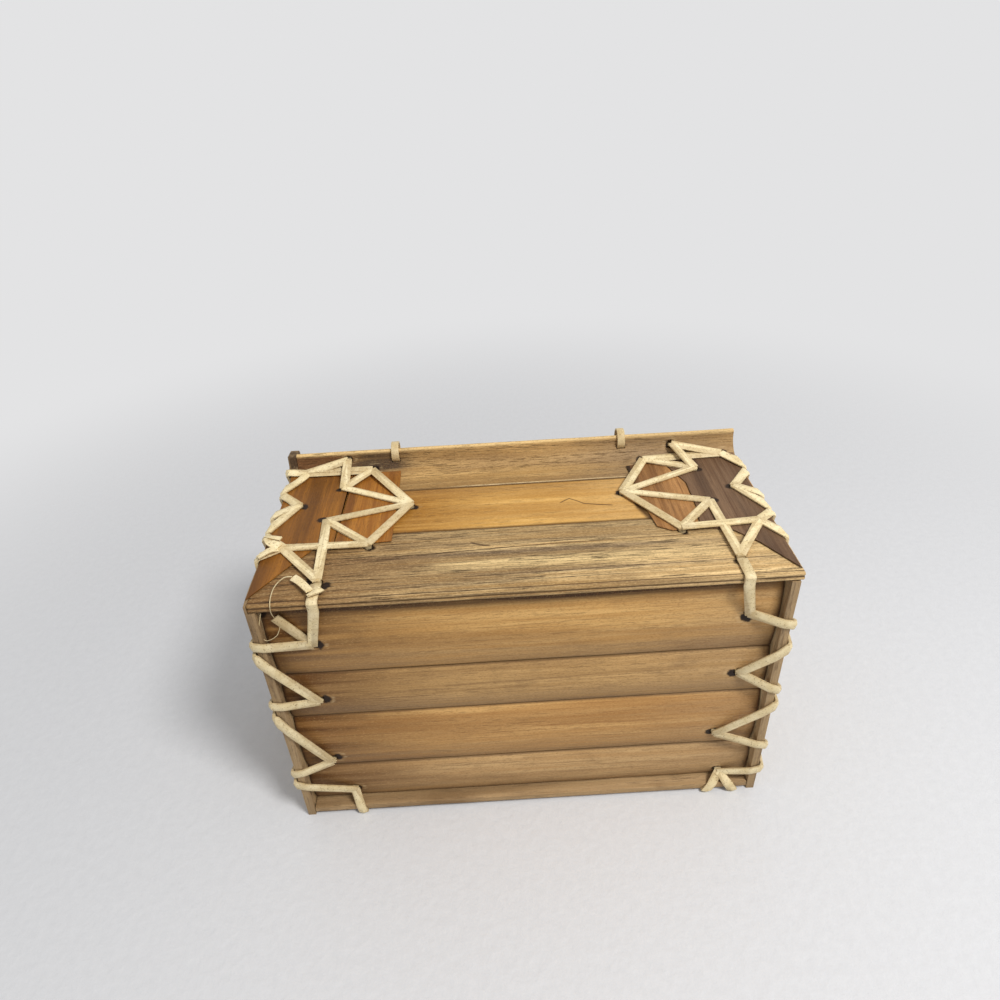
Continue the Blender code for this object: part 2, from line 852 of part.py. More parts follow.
def patch(side, part, slot):
    """A thin sheet that follows the face of the top, trimmed to its outline and drilled for the lacing."""
    name = f"sheath_{side}_{part}"
    outline = [(inset_place(side, inset), depth * PANEL_DEPTH) for inset, depth in PATCH_SHARES[name]]
    farthest = max(run for _, run in outline)
    form = bmesh.new()
    form.faces.new([form.verts.new((x, run, 0)) for x, run in outline])
    for run in lip_runs():
        if run < farthest - WELD:
            bisect(form, BACK, run)
    grown = bmesh.ops.extrude_face_region(form, geom=form.faces[:])
    upper = [item for item in grown["geom"] if isinstance(item, bmesh.types.BMVert)]
    bmesh.ops.translate(form, verts=upper, vec=UP * PATCH_THICK)
    for vert in form.verts:
        x, run, lift = vert.co
        vert.co = top_place(x, run, FIT_GAP + lift)
    sheet = object_of("sheet", form)
    cut(sheet, top_hole_cutters(0, farthest))
    finish(sheet, name, slot)


# Lacing of the top.


def fan_strip(side, first, second):
    """A strip drawn straight between two holes of the top. One that climbs the lip is flat at its foot."""
    (xa, ra), (xb, rb) = top_hole(side, first), top_hole(side, second)
    climbs = "lip" in (first, second)
    outward = top_normal(min(ra, rb)) if climbs else top_normal(ra) + top_normal(rb)
    lay = LAY_STEP if (first, second) in CROSSING_OVER[side] else 0
    return taut(top_place(xa, ra, FAN_LIFT), top_place(xb, rb, FAN_LIFT), outward, lay)


def under_strip(side, first, second, lay):
    """A run of the lacing that follows the underside of the top."""
    ends = sorted((top_hole(side, first), top_hole(side, second)), key=lambda end: end[1])
    path = [Vector((run, x)) for x, run in ends]
    folds = [run for run in lip_runs() if path[0].x + WELD < run < path[1].x - WELD]

    def place(run, x, height):
        return under_place(x, run, FIT_GAP + height)

    return ribbon(path, place, lay, folds)


def top_leg(side, key):
    """The passage through a hole of the top. In the lip the strip is tucked into its hole and stops there."""
    x, run = top_hole(side, key)
    under = 0 if key == "lip" else FIT_GAP + LACE_THICK / 2
    return leg(top_place(x, run, FAN_LIFT + LACE_THICK / 2), under_place(x, run, under), ACROSS)


def end_face(side):
    """How far out a strip lies on an end face below the top, which overhangs the right one."""
    return HALF + FIT_GAP + (TOP_RIGHT_OVERHANG if side == "right" else 0)


def rim_strip(side, number):
    """A strip from a hole of the top over its end edge to a hole in the end face."""
    sign = sign_of(side)
    key, rim_key = RIM_STRIPS[number]
    x, run = top_hole(side, key)
    out = end_face(side)
    corners = [(abs(x), FAN_LIFT), (out, FAN_LIFT), (out, -RIM_HOLE_DROP)]
    courses = [run, RIM_CROSSING_SHARES[side][number] * PANEL_DEPTH, rim_depth(side, rim_key)]
    low, high = min(courses) - LACE_WIDTH, max(courses) + LACE_WIDTH
    cross_folds = [place for place in lip_runs() if low < place < high]

    def to_chest(point, course):
        return top_place(sign * point.x, course, point.y)

    return wrap(corners, courses, to_chest, LAY_STEP * (number % 2), RIM_EASE, cross_folds)


def rim_leg(side, key):
    sign = sign_of(side)
    depth, z = over_top(rim_depth(side, key), -RIM_HOLE_DROP)
    outside = Vector((sign * (end_face(side) + LACE_THICK / 2), depth, z))
    return leg(outside, Vector((sign * (END_INNER - LACE_STAND), depth, z)), BACK)


def top_lace(side):
    """One strip: the fan over the slats and patches, and its zigzag over the end edge."""
    pieces = [fan_strip(side, *pair) for pair in FAN_STRIPS]
    pieces += [under_strip(side, *pair, LAY_STEP * (i % 2)) for i, pair in enumerate(UNDER_STRIPS)]
    pieces += [top_leg(side, key) for key in TOP_HOLE_SHARES[side]]
    pieces += [rim_strip(side, number) for number in range(len(RIM_STRIPS))]
    pieces += [rim_leg(side, key) for key in RIM_HOLE_SHARES[side]]
    finish(fuse(pieces), f"rattan_top_{side}", "rattan")


# Lacing of the front corners.


def end_leg(side, depth, z):
    """The passage through an end panel, a little past the strip that it meets inside."""
    sign = sign_of(side)
    outside = Vector((sign * (HALF + FIT_GAP + LACE_THICK / 2), depth, z))
    inside = Vector((sign * (END_INNER - LACE_STAND - LACE_THICK / 2), depth, z))
    return leg(outside, inside, BACK)


def corner_wrap(side, hole, crossing, corner_z, lay):
    """A strip from a front hole round the end panel's front edge to a hole in the end face."""
    sign = sign_of(side)
    x, z = hole
    out = HALF + FIT_GAP
    corners = [
        (abs(x), FIT_GAP - FRONT_SET_BACK),
        (END_INNER, FIT_GAP),
        (out, FIT_GAP),
        (out, -CORNER_HOLE_DEPTH),
    ]

    def to_chest(point, course):
        return Vector((sign * point.x, -point.y, course))

    return wrap(corners, [z, None, crossing, corner_z], to_chest, lay)


def inner_diagonal(side, hole, corner_z):
    """The return of a wrap across the inside of the corner, flat to the front."""
    sign = sign_of(side)
    x, z = hole
    start = Vector((x, FRONT_BACK + FIT_GAP, z))
    end = Vector((sign * (END_INNER - LACE_STAND), CORNER_HOLE_DEPTH, corner_z))
    return taut(start, end, BACK)


def front_leg(x, z):
    outside = Vector((x, FRONT_SET_BACK - FIT_GAP - LACE_THICK / 2, z))
    return leg(outside, Vector((x, FRONT_BACK + LACE_STAND, z)), ACROSS)


def ahead_and_up(point, course):
    """For a strip seen square to the end: its distance ahead of the front edge and its height."""
    return Vector((course, -point.x, point.y))


def over_edge(side):
    """The strip that leaves the corner hole of the top, goes over the front edge and down to the front."""
    x, run = top_hole(side, "corner")
    low_x, low_z = front_holes(side)[0]
    start = LEG_WIDTH - run
    corners = [
        (start, TOP_HEIGHT + FIT_GAP),
        (FIT_GAP, TOP_HEIGHT + FIT_GAP),
        (FIT_GAP, TOP_UNDER),
        (FIT_GAP - FRONT_SET_BACK, low_z),
    ]
    strip = wrap(corners, [x, None, x, low_x], ahead_and_up, LAY_STEP)
    head = Vector((x, -start, TOP_HEIGHT + FIT_GAP + LACE_THICK / 2))
    return [strip, leg(head, Vector((x, -start, TOP_UNDER - LACE_STAND)), ACROSS)]


def cuff(side, x, lay):
    """A strip from the lowest front hole down over the bottom's front edge and up through the bottom."""
    low_x, low_z = front_holes(side)[-1]
    under_z = BOTTOM_CLEAR - FIT_GAP
    corners = [
        (FIT_GAP - FRONT_SET_BACK, low_z),
        (FIT_GAP, FLOOR_Z),
        (FIT_GAP, under_z),
        (-CUFF_HOLE_DEPTH, under_z),
    ]
    strip = wrap(corners, [low_x, None, x, x], ahead_and_up, lay)
    foot = Vector((x, CUFF_HOLE_DEPTH, under_z - LACE_THICK / 2))
    head = Vector((x, CUFF_HOLE_DEPTH, FLOOR_Z + LACE_WIDTH / 2))
    knee = Vector((low_x, FRONT_BACK + FIT_GAP, low_z))
    return [strip, leg(foot, head, ACROSS), taut(knee, head, BACK, lay)]


def cut_end(side):
    """The loose end of the strip, lying on the front face."""
    inset_share, height_share = CUT_END_SHARES
    x, z = front_holes(side)[0]
    depth = FRONT_SET_BACK - FIT_GAP
    end = Vector((inset_place(side, inset_share), depth, height_share * TOP_HEIGHT))
    return taut(Vector((x, depth, z)), end, -BACK)


def corner_lace(side):
    """One strip down the front corner: over the top edge, round the end panel and under the bottom."""
    holes = front_holes(side)
    crossings = [share * TOP_HEIGHT for share in CORNER_CROSSING_SHARES[side]]
    pieces = over_edge(side)
    for i, corner_z in enumerate(corner_heights(side)):
        pieces.append(corner_wrap(side, holes[i], crossings[2 * i], corner_z, 0))
        pieces.append(corner_wrap(side, holes[i + 1], crossings[2 * i + 1], corner_z, LAY_STEP))
        pieces.append(inner_diagonal(side, holes[i + 1], corner_z))
        pieces.append(end_leg(side, CORNER_HOLE_DEPTH, corner_z))
    pieces += [front_leg(x, z) for x, z in holes]
    for i, x in enumerate(cuff_places(side)):
        pieces += cuff(side, x, LAY_STEP * i)
    if side == "left":
        pieces.append(cut_end(side))
    finish(fuse(pieces), f"rattan_corner_{side}", "rattan")


# Lacing of the bottom.


def foot_crossing(depth, foot):
    """Where a strip between a bottom hole and an end-face hole passes under the foot."""
    to_foot = BOTTOM_HOLE_INSET + END_THICK / 2
    whole = BOTTOM_HOLE_INSET + END_THICK + FOOT_HOLE_HEIGHT
    return depth + (foot - depth) * to_foot / whole


def foot_strip(side, depth, foot):
    """A strip from a bottom hole under the foot of an end panel and up to a hole in its face."""
    sign = sign_of(side)
    out = HALF + FIT_GAP
    under = FIT_GAP - BOTTOM_CLEAR
    corners = [(bottom_inset(), under), (out, under), (out, -FOOT_HOLE_HEIGHT)]

    def to_chest(point, course):
        return Vector((sign * point.x, course, -point.y))

    return wrap(corners, [depth, None, foot], to_chest, 0)


def bottom_lace(side):
    """One strip, stitched out through the bottom and back in through the end panel along its foot."""
    sign = sign_of(side)
    x = sign * bottom_inset()
    heads = [Vector((x, depth, FLOOR_Z + LACE_STAND)) for depth in bottom_depths()]
    insides = [Vector((sign * (END_INNER - LACE_STAND), foot, FOOT_HOLE_HEIGHT)) for foot in foot_depths()]
    pieces = []
    for head, inside in zip(heads, insides):
        foot = Vector((x, head.y, BOTTOM_CLEAR - FIT_GAP - LACE_THICK / 2))
        pieces.append(foot_strip(side, head.y, inside.y))
        pieces.append(leg(foot, head + UP * (LACE_THICK / 2), BACK))
        pieces.append(end_leg(side, inside.y, FOOT_HOLE_HEIGHT))
    for inside, head in zip(insides, heads[1:]):
        pieces.append(taut(inside, head, UP - ACROSS * sign))
    finish(fuse(pieces), f"rattan_bottom_{side}", "rattan")


# Lid.


def lid_slat_height():
    return (LID_TOP - LID_CLEAR_BELOW + FIT_GAP) / LID_SLATS - FIT_GAP


def lid_slat_bottom(number):
    return LID_CLEAR_BELOW + number * (lid_slat_height() + FIT_GAP)


def lid_hole(side, number):
    """One hole to a slat, stepping in and out so that the lacing zigzags. The last is under the cleat's top."""
    inset = CLEAT_LACE_INSET if number % 2 else CLEAT_WIDTH - CLEAT_LACE_INSET
    middle = lid_slat_bottom(number) + lid_slat_height() / 2
    return sign_of(side) * (CLEAT_OUT - inset), min(middle, CLEAT_TOP - CLEAT_LACE_INSET)


def lid_slat(number, pivot):
    start = lid_slat_bottom(number)
    face = crowned(start, start + lid_slat_height(), AXIS_DEPTH, LID_THICK, LID_CROWN, 1)
    slat = prism([(depth, z) for z, depth in face], along_length, -LID_HALF, LID_HALF)
    cutters = ring_cutters() if number == LID_SLATS - 1 else []
    for side in SIDES:
        x, z = lid_hole(side, number)
        cutters.append(drill(Vector((x, AXIS_DEPTH, z)), Vector((x, AXIS_DEPTH + LID_THICK, z))))
    cut(slat, cutters)
    finish(slat, f"lid_slat_{number + 1}", "bamboo_front", pivot=pivot)


def lid_cleat(side, pivot):
    """A flat cleat inside the lid, which the slats are laced to."""
    sign = sign_of(side)
    near, far = sorted((sign * (CLEAT_OUT - CLEAT_WIDTH), sign * CLEAT_OUT))
    rear = AXIS_DEPTH - FIT_GAP
    piece = block((near, rear - CLEAT_THICK, FLOOR_Z + CLEAT_BELOW), (far, rear, CLEAT_TOP))
    cutters = []
    for number in range(LID_SLATS):
        x, z = lid_hole(side, number)
        cutters.append(drill(Vector((x, rear - CLEAT_THICK, z)), Vector((x, rear, z))))
    cut(piece, cutters)
    finish(piece, f"lid_cleat_{side}", "bamboo_plain", smooth=False, pivot=pivot)


def lid_lace(side, pivot):
    """One strip that zigzags through the slats and their cleat."""
    outer = AXIS_DEPTH + LID_THICK + FIT_GAP
    inner = AXIS_DEPTH - FIT_GAP - CLEAT_THICK - FIT_GAP
    holes = [lid_hole(side, number) for number in range(LID_SLATS)]
    pieces = []
    for i, ((xa, za), (xb, zb)) in enumerate(zip(holes, holes[1:])):
        lay = LAY_STEP * (i % 2)
        pieces.append(taut(Vector((xa, outer, za)), Vector((xb, outer, zb)), BACK, lay))
        pieces.append(taut(Vector((xa, inner, za)), Vector((xb, inner, zb)), -BACK, lay))
    for x, z in holes:
        start = Vector((x, outer + LACE_THICK / 2, z))
        pieces.append(leg(start, Vector((x, inner - LACE_THICK / 2, z)), ACROSS))
    finish(fuse(pieces), f"rattan_lid_{side}", "rattan", pivot=pivot)


def hinge_rings():
    for side, x in ring_places().items():
        finish(band(x, RING_INNER, RING_OUTER, RING_WIDTH), f"hinge_ring_{side}", "rattan")


def lid():
    """Everything that swings with the lid, hung on an empty that stands on its axis."""
    pivot = bpy.data.objects.new("lid_pivot", None)
    pivot.location = TO_FOOTPRINT + Vector((0, AXIS_DEPTH, AXIS_Z))
    bpy.context.scene.collection.objects.link(pivot)
    for number in range(LID_SLATS):
        lid_slat(number, pivot)
    for side in SIDES:
        lid_cleat(side, pivot)
        lid_lace(side, pivot)


def chest():
    top_front_slat()
    top_middle_slat()
    top_rear_slat()
    front_slats()
    bottom_slats()
    patch("left", "outer", "sheath_brown")
    patch("left", "inner", "sheath_amber")
    patch("right", "inner", "sheath_amber")
    patch("right", "outer", "sheath_purple")
    for side in SIDES:
        end_panel(side)
        top_lace(side)
        corner_lace(side)
        bottom_lace(side)
    hinge_rings()


clear_scene()
chest()
lid()
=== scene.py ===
import math

import bmesh
import bpy
from mathutils import Matrix, Vector, noise


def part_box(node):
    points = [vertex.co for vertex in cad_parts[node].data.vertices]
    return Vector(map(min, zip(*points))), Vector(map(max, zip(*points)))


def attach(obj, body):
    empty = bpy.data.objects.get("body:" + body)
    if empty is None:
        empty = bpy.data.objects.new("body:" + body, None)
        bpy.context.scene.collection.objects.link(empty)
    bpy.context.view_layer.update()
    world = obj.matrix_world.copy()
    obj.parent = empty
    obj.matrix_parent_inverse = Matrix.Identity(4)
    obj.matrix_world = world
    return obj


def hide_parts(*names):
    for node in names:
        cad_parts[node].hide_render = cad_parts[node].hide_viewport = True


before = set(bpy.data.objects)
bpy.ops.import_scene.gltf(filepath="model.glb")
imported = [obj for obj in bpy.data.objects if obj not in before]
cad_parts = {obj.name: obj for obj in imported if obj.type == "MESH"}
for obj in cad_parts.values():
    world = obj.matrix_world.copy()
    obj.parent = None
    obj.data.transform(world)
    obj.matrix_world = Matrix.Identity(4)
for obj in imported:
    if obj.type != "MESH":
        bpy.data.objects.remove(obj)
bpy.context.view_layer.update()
mm = 0.001
axisNumber = {"x": 0, "y": 1, "z": 2}


def tone(red, green, blue):  # a colour read off a picture, 0 to 255, as the shader wants it
    parts = []
    for part in (red, green, blue):
        share = part / 255
        parts.append(share / 12.92 if share <= 0.04045 else ((share + 0.055) / 1.055) ** 2.4)
    return (*parts, 1.0)


class Value:  # one value of a material; sums and products of it add Math nodes
    def __init__(self, tree, socket):
        self.tree = tree
        self.socket = socket

    def maths(self, operation, *others, flip=False, clamp=False):
        node = self.tree.nodes.new("ShaderNodeMath")
        node.operation = operation
        node.use_clamp = clamp
        terms = [*others, self] if flip else [self, *others]
        for entry, term in zip(node.inputs, terms):
            if isinstance(term, Value):
                self.tree.links.new(term.socket, entry)
            else:
                entry.default_value = term
        return Value(self.tree, node.outputs[0])

    def __add__(self, other):
        return self.maths("ADD", other)

    def __sub__(self, other):
        return self.maths("SUBTRACT", other)

    def __rsub__(self, other):
        return self.maths("SUBTRACT", other, flip=True)

    def __mul__(self, other):
        return self.maths("MULTIPLY", other)

    def __pow__(self, other):
        return self.maths("POWER", other)

    __radd__ = __add__
    __rmul__ = __mul__

    def size(self):
        return self.maths("ABSOLUTE")

    def rise(self, low, high):  # 0 below low, 1 above high, eased between
        node = self.tree.nodes.new("ShaderNodeMapRange")
        node.interpolation_type = "SMOOTHSTEP"
        self.tree.links.new(self.socket, node.inputs["Value"])
        node.inputs["From Min"].default_value = low
        node.inputs["From Max"].default_value = high
        return Value(self.tree, node.outputs[0])

    def near(self, middle, reach):  # 1 at middle, 0 past reach
        return 1 - (self - middle).size().rise(0, reach)

    def atLeast(self, least):  # 0 to 1 squeezed into least to 1
        return self * (1 - least) + least


class Finish:  # a material being made
    def __init__(self, name):
        self.material = bpy.data.materials.new(name)
        self.material.use_nodes = True
        self.tree = self.material.node_tree
        self.tree.nodes.clear()
        self.place = self.node("ShaderNodeTexCoord").outputs["Object"]
        parts = self.node("ShaderNodeSeparateXYZ", Vector=self.place)
        self.x, self.y, self.z = (Value(self.tree, output) for output in parts.outputs)

    def node(self, kind, settings=None, **inputs):
        node = self.tree.nodes.new(kind)
        for name, value in (settings or {}).items():
            setattr(node, name, value)
        for name, value in inputs.items():
            self.feed(node.inputs[name.replace("_", " ")], value)
        return node

    def feed(self, entry, value):
        source = value.socket if isinstance(value, Value) else value
        if isinstance(source, bpy.types.NodeSocket):
            self.tree.links.new(source, entry)
        else:
            entry.default_value = source

    def cloud(self, stretch, detail, roughness, shift=0.0):  # stretch is how often a metre it changes
        moved = (shift, shift * 1.7, shift * 0.6)  # so that two pieces don't share a pattern
        place = self.node("ShaderNodeMapping", Vector=self.place, Scale=stretch, Location=moved)
        clouds = self.node(
            "ShaderNodeTexNoise", Vector=place.outputs[0], Scale=1.0, Detail=detail, Roughness=roughness
        )
        return Value(self.tree, clouds.outputs[0])

    def blend(self, factor, first, second):
        node = self.node("ShaderNodeMix", {"data_type": "RGBA"})
        for number, value in ((0, factor), (6, first), (7, second)):  # a Mix node's sockets for colours
            self.feed(node.inputs[number], value)
        return node.outputs[2]

    def away(self, spot):  # how far a point of the surface is from a spot in millimetres
        node = self.node("ShaderNodeVectorMath", {"operation": "DISTANCE"})
        self.feed(node.inputs[0], self.place)
        node.inputs[1].default_value = [part * mm for part in spot]
        return Value(self.tree, node.outputs["Value"])

    def trace(self, points, reach):  # 1 on a thin line over the top, through places (x, y) in millimetres
        tip = 0.0012
        course = points[0][1] * mm
        for (x, y), (nextX, nextY) in zip(points, points[1:]):
            run = (self.x - x * mm).maths("MAXIMUM", 0.0).maths("MINIMUM", (nextX - x) * mm)
            course = run * ((nextY - y) / (nextX - x)) + course
        start, end = points[0][0] * mm, points[-1][0] * mm
        ends = self.x.rise(start, start + tip) * (1 - self.x.rise(end - tip, end))
        return (self.y - course).near(0.0, reach) * ends

    def done(self, colour, roughness, height, depth, coat, specular=0.4):
        shader = self.node("ShaderNodeBsdfPrincipled", Base_Color=colour, Roughness=roughness)
        shader.inputs["Coat Weight"].default_value = coat
        shader.inputs["Coat Roughness"].default_value = 0.3
        shader.inputs["Specular IOR Level"].default_value = specular
        bump = self.node("ShaderNodeBump", Height=height, Distance=depth, Strength=1.0)
        self.feed(shader.inputs["Normal"], bump.outputs[0])
        self.node("ShaderNodeOutputMaterial", Surface=shader.outputs[0])
        return self.material


def stretched(fibre, along, across):
    scale = [across] * 3
    scale[axisNumber[fibre]] = along
    return tuple(scale)


fibrousClouds = {  # changes a metre along the fibre and across it, detail, roughness, shift
    "fine": (26, 1700, 4, 0.62, 0),
    "coarse": (13, 420, 3, 0.55, 3),
    "broad": (9, 110, 2, 0.5, 9),
    "dashes": (170, 2300, 3, 0.6, 5),
    "grit": (1100, 2900, 2, 0.6, 15),
}
shows = {  # where a cloud starts to show as each pattern, and where it shows in full
    "light": (0.38, 0.62),
    "broad": (0.42, 0.66),
    "lines": (0.5, 0.66),
    "stain": (0.52, 0.72),
    "bandFields": (0.3, 0.6),
    "pores": (0.52, 0.66),
    "poreFields": (0.38, 0.6),
    "grit": (0.5, 0.72),
    "paleGrit": (0.3, 0.47),
    "torn": (0.48, 0.6),
    "tornFields": (0.4, 0.56),
}
bambooLook = {
    "blotchPerMetre": (38, 60, 60),
    "bandFade": 0.02,
    "bandLeast": 0.4,
    "poreLeast": 0.2,
    "paleGrit": 0.45,
    "crack": 0.9,
    "bump": 0.0002,
    "roughness": 0.5,
    "specular": 0.25,
    "poreTone": tone(66, 44, 26),
    "seamTone": tone(70, 48, 28),
    "darkLineTone": tone(64, 40, 20),
}
usualLook = {  # how strong each pattern is, where a piece doesn't have its own
    "pores": 0.3,
    "poreLength": 1,
    "broad": 0.5,
    "lines": 0.35,
    "stain": 0.3,
    "stainTone": tone(112, 84, 52),
    "grit": 0.25,
    "torn": 0.5,
    "relief": 1.0,
    "dull": 0.0,
    "coat": 0.0,
    "shift": 0.0,
    "seams": (),  # (axis, place, reach, strength)
    "bands": (),  # (axis, middle, reach, axis that the band runs along, low, high, strength, tone)
    "holes": (),
    "cracks": (),  # (places (x, y) on the top in millimetres, reach): cracks, grain lines, a groove, and painted shadow lines
}

holeLook = {
    "search": 0.003,  # how far outside a node's box its holes may lie
    "raggedPerMetre": 420,
    "raggedBy": 0.0024,
    "dark": (-0.2, 0.7),  # where the painted shade of a hole starts to fade and where it ends, from its reach
    "darkTone": tone(34, 18, 4),
    "tornFrom": 1.2,
    "tornWidth": 0.0012,
    "tornTone": tone(226, 198, 150),
}

# What shows of each lacing hole beside the strips: its place and how far it reaches, in millimetres.
holes = [
    (-55.4, 35.2, 113.1, 1.3),
    (-65.4, 37.0, 117.4, 1.3),
    (-80.3, 12.2, 111.2, 1.5),
    (-68.4, 22.8, 111.2, 1.2),
    (-72.2, 2.5, 111.2, 1.6),
    (-38.5, 8.7, 111.2, 1.5),
    (-52.0, -15.8, 111.2, 1.3),
    (-70.0, -32.3, 111.2, 1.7),
    (-65.1, -34.8, 111.2, 1.7),
    (51.8, 32.4, 111.5, 1.4),
    (64.3, 36.7, 116.0, 1.4),
    (85.7, 33.4, 111.9, 1.2),
    (72.7, 22.4, 111.2, 1.3),
    (81.0, 8.7, 111.2, 1.5),
    (70.0, 1.5, 111.2, 1.5),
    (72.8, 0.4, 111.2, 1.5),
    (39.5, 9.7, 111.2, 1.5),
    (57.6, -17.2, 111.2, 1.1),
    (71.6, -34.8, 111.2, 1.8),
    (-70.2, -39.6, 89.2, 1.6),
    (-72.5, -39.6, 62.7, 1.7),
    (-73.7, -39.6, 29.8, 1.7),
    (-68.4, -39.6, 10.6, 1.2),
    (-86.4, -39.6, 104.0, 1.6),
    (75.0, -39.6, 90.3, 1.9),
    (73.8, -39.6, 63.4, 1.6),
    (69.0, -39.6, 31.4, 1.6),
    (73.8, -39.6, 8.6, 1.2),
]


def holesIn(node):  # the holes that open in a node
    low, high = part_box(node)
    reach = holeLook["search"]

    def opens(spot):
        return all(low[i] - reach < spot[i] * mm < high[i] + reach for i in range(3))

    return [spot for spot in holes if opens(spot)]


def fibrous(made, fibre, kind, shift, length=1):
    along, across, detail, roughness, ownShift = fibrousClouds[kind]
    return made.cloud(stretched(fibre, along / length, across), detail, roughness, shift + ownShift)


def bamboo(name, fibre, dark, plain, light, **ownLook):
    made = Finish(name)
    look = {**usualLook, **ownLook}
    shift = look["shift"]
    fine = fibrous(made, fibre, "fine", shift)
    coarse = fibrous(made, fibre, "coarse", shift)
    broad = fibrous(made, fibre, "broad", shift)
    dashes = fibrous(made, fibre, "dashes", shift, look["poreLength"])
    grit = fibrous(made, fibre, "grit", shift)
    blotch = made.cloud(bambooLook["blotchPerMetre"], 4, 0.62, shift + 21)
    poreFields = coarse.rise(*shows["poreFields"]).atLeast(bambooLook["poreLeast"])
    pores = dashes.rise(*shows["pores"]) * poreFields * look["pores"]

    # the grain, from its plain tone to its lines and stains
    body = made.blend((fine * 0.5 + coarse * 0.5).rise(*shows["light"]), plain, light)
    body = made.blend(broad.rise(*shows["broad"]) * look["broad"], body, dark)
    body = made.blend(fine.rise(*shows["lines"]) * look["lines"], body, dark)
    body = made.blend(blotch.rise(*shows["stain"]) * look["stain"], body, look["stainTone"])
    fade = bambooLook["bandFade"]
    bandFields = coarse.rise(*shows["bandFields"]).atLeast(bambooLook["bandLeast"])
    for axis, middle, reach, along, low, high, strength, paint in look["bands"]:
        run = getattr(made, along)
        ends = run.rise(low, low + fade) * (1 - run.rise(high - fade, high))
        band = getattr(made, axis).near(middle, reach) * ends
        body = made.blend(band * bandFields * strength, body, paint)
    body = made.blend(pores, body, bambooLook["poreTone"])
    body = made.blend(grit.rise(*shows["grit"]) * look["grit"], body, dark)
    paleGrit = (1 - grit.rise(*shows["paleGrit"])) * (look["grit"] * bambooLook["paleGrit"])
    body = made.blend(paleGrit, body, light)

    # seams, holes, and dark lines: cracks, grain lines, a groove and painted shadows
    for axis, place, reach, strength in look["seams"]:
        body = made.blend(getattr(made, axis).near(place, reach) * strength, body, bambooLook["seamTone"])
    ragged = (made.cloud((holeLook["raggedPerMetre"],) * 3, 3, 0.6, shift + 2) - 0.5) * holeLook["raggedBy"]
    inner, outer = holeLook["dark"]
    for *spot, reach in look["holes"]:
        away = made.away(spot)
        torn = away.near((reach + holeLook["tornFrom"]) * mm, holeLook["tornWidth"])
        torn = torn * dashes.rise(*shows["torn"]) * blotch.rise(*shows["tornFields"])
        body = made.blend(torn * look["torn"], body, holeLook["tornTone"])
        # painted shade: the surface is darkened where a lacing hole opens beside its strip
        hollow = 1 - (away + ragged).rise((reach + inner) * mm, (reach + outer) * mm)
        body = made.blend(hollow, body, holeLook["darkTone"])
    for points, reach in look["cracks"]:
        body = made.blend(made.trace(points, reach) * bambooLook["crack"], body, bambooLook["darkLineTone"])

    height = fine * 0.5 + coarse * 0.6 - pores
    rough = fine * 0.16 + pores * 0.2 + (bambooLook["roughness"] + look["dull"])
    depth = bambooLook["bump"] * look["relief"]
    return made.done(body, rough, height, depth, look["coat"], bambooLook["specular"])


rattanLook = {
    "pale": tone(247, 230, 186),
    "cream": tone(228, 207, 158),
    "rim": tone(160, 130, 84),
    "fleck": tone(128, 98, 62),
    # the tone of the corner and bottom strips, which is painted shade, and the darker tone of the loose
    # fibres
    "darkerTone": tone(132, 108, 72),
    "flecks": (1500, 3, 0.6, 2),  # changes a metre, detail, roughness, shift
    "grain": (675, 4, 0.7, 7),
    "blotches": (210, 3, 0.6, 13),
    "creamShows": (0.32, 0.68),
    "grainShows": (0.5, 0.74),
    "fleckShows": (0.57, 0.68),
    "grainStrength": 0.32,
    "rimPower": 6,
    "bump": 0.00011,
    "coat": 0.08,
}


def rattan(name, dull=0.0):
    made = Finish(name)
    look = rattanLook
    fleck, grain, blotch = (
        made.cloud((look[kind][0],) * 3, *look[kind][1:]) for kind in ("flecks", "grain", "blotches")
    )
    rim = Value(made.tree, made.node("ShaderNodeAttribute", {"attribute_name": "rim"}).outputs["Fac"])
    body = made.blend(blotch.rise(*look["creamShows"]), look["pale"], look["cream"])
    body = made.blend(grain.rise(*look["grainShows"]) * look["grainStrength"], body, look["rim"])
    body = made.blend(fleck.rise(*look["fleckShows"]) * (0.35 + blotch * 0.6), body, look["fleck"])
    # darker along each strip's rims: partly the rattan's own darker edges, partly painted shade where the
    # strip meets the surface under it
    body = made.blend(rim ** look["rimPower"] * (0.2 + grain * 0.5), body, look["rim"])
    if dull:
        body = made.blend(dull, body, look["darkerTone"])
    rough, height = 0.46 + grain * 0.2, grain * 0.7 + fleck * 0.5
    return made.done(body, rough, height, look["bump"], look["coat"])


softening = {  # angles in degrees
    "weld": 1e-7,
    "flatBelow": 0.6,  # edges that bend less are dissolved
    "sharpAbove": 40,  # edges that bend more are rounded over
    "smoothBelow": 38,  # edges that bend less are shaded smooth
    "roundOver": 0.00028,
    "wave": 0.00011,
    "waveLength": 0.016,
    "slice": 0.006,
    "seed": 7,
}
noise.seed_set(softening["seed"])  # without it the waves start from the clock and differ from run to run


def mergedCopy(node):
    form = bmesh.new()
    form.from_mesh(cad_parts[node].data)
    bmesh.ops.remove_doubles(form, verts=form.verts, dist=softening["weld"])
    bmesh.ops.dissolve_limit(
        form,
        angle_limit=math.radians(softening["flatBelow"]),
        use_dissolve_boundaries=False,
        verts=form.verts,
        edges=form.edges,
    )
    return form


def sharpEdges(form, least):  # least in degrees
    inner = (edge for edge in form.edges if len(edge.link_faces) == 2)
    return [edge for edge in inner if edge.calc_face_angle() > math.radians(least)]


def roundedOver(form, width, least=softening["sharpAbove"], segments=2):
    bmesh.ops.bevel(
        form,
        geom=sharpEdges(form, least),
        offset=width,
        offset_type="OFFSET",
        affect="EDGES",
        segments=segments,
        profile=0.5,
        material=-1,
        clamp_overlap=True,
    )


